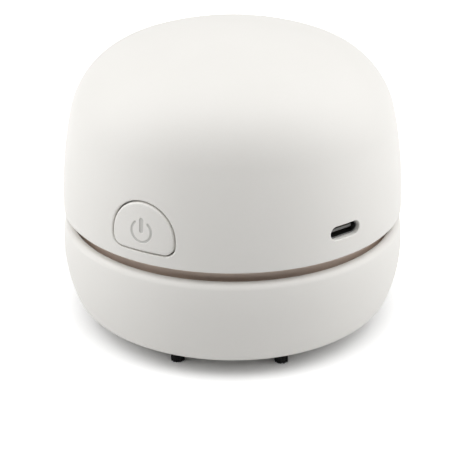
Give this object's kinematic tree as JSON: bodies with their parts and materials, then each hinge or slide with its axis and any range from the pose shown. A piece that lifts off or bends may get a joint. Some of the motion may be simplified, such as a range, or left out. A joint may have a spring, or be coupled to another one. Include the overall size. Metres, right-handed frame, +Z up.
{
  "type": "desktop vacuum cleaner",
  "caption": "Round desktop mini vacuum cleaner: a domed body with a push button and a charging socket over a twist-off dust bowl that stands on bristle tufts.",
  "frame": {"origin": "on the vertical axis of the round body, at desk level under the bristle tips", "axes": "+Z up along the body's axis, -Y to the front between the power button and the charging socket, +X to the right of the front"},
  "size_m": [0.0908, 0.0908, 0.079],
  "materials": {
    "white_shell": "satin gloss moulded ABS",
    "black_bristle": "black nylon bristle",
    "seal_rubber": "soft silicone rubber",
    "filter_plastic": "matt moulded plastic",
    "mesh_nylon": "fine woven nylon mesh",
    "filter_felt": "non-woven filter felt",
    "taupe_plastic": "satin moulded plastic",
    "plate_plastic": "matt moulded plastic",
    "impeller_plastic": "moulded nylon",
    "steel": "bright drawn steel",
    "core_steel": "laminated electrical steel",
    "copper_wire": "enamelled copper wire",
    "ferrite": "sintered ferrite",
    "bronze": "sintered bronze and brass",
    "black_plastic": "matt black moulded plastic",
    "screw_steel": "zinc plated steel",
    "board_green": "glass fibre board with green solder mask",
    "socket_steel": "nickel plated stainless steel",
    "plunger_plastic": "white moulded nylon",
    "cell_sleeve": "lithium cell in a shrink sleeve",
    "nickel": "nickel strip",
    "foam": "soft adhesive foam",
    "red_wire": "insulated stranded wire",
    "black_wire": "insulated stranded wire"
  },
  "bodies": {
    "base": {"base_shell": "white_shell", "bristle_tuft_1": "black_bristle", "bristle_tuft_2": "black_bristle", "bristle_tuft_3": "black_bristle", "bristle_tuft_4": "black_bristle", "bristle_tuft_5": "black_bristle", "bristle_tuft_6": "black_bristle", "bristle_tuft_7": "black_bristle", "bristle_tuft_8": "black_bristle"},
    "seal": {"filter_seal": "seal_rubber"},
    "filter": {"filter_frame": "filter_plastic", "filter_mesh": "mesh_nylon", "filter_pad": "filter_felt"},
    "main_body": {"top_shell": "white_shell", "fan_housing": "taupe_plastic", "motor_plate": "plate_plastic", "motor_magnets": "ferrite", "motor_can": "steel", "motor_bushes": "bronze", "motor_endcap": "black_plastic", "motor_terminals": "bronze", "motor_screws": "screw_steel", "housing_screws": "screw_steel", "board_screws": "screw_steel", "circuit_board": "board_green", "board_chips": "black_plastic", "socket_shell": "socket_steel", "socket_tongue": "black_plastic", "switch_body": "black_plastic", "battery_cell": "cell_sleeve", "battery_tabs": "nickel", "battery_pad": "foam", "motor_lead_red": "red_wire", "motor_lead_black": "black_wire", "battery_lead_red": "red_wire", "battery_lead_black": "black_wire"},
    "rotor": {"impeller": "impeller_plastic", "motor_shaft": "steel", "motor_core": "core_steel", "motor_windings": "copper_wire"},
    "button": {"power_button": "white_shell"},
    "plunger": {"switch_plunger": "plunger_plastic"}
  },
  "joints": [
    {"name": "lock_twist", "type": "hinge", "parent": "base", "child": "seal", "pos_m": [0, 0, 0.018], "axis": [0, 0, -1], "range_deg": [0, 20]},
    {"name": "filter_lift", "type": "slide", "parent": "seal", "child": "filter", "axis": [0, 0, 1], "range_m": [0, 0.03]},
    {"name": "body_lift", "type": "slide", "parent": "filter", "child": "main_body", "axis": [0, 0, 1], "range_m": [0, 0.04]},
    {"name": "impeller_spin", "type": "hinge", "parent": "main_body", "child": "rotor", "pos_m": [0, 0, 0.03], "axis": [0, 0, 1], "continuous": true},
    {"name": "button_press", "type": "slide", "parent": "main_body", "child": "button", "axis": [0.4894, 0.8721, 0], "range_m": [0, 0.001], "stiffness_N_per_m": 600, "springref_m": -0.0005},
    {"name": "plunger_press", "type": "slide", "parent": "main_body", "child": "plunger", "axis": [0.4894, 0.8721, 0], "range_m": [0, 0.001]}
  ],
  "couplings": [
    {"joint": "plunger_press", "follows": "button_press", "ratio": 1}
  ]
}
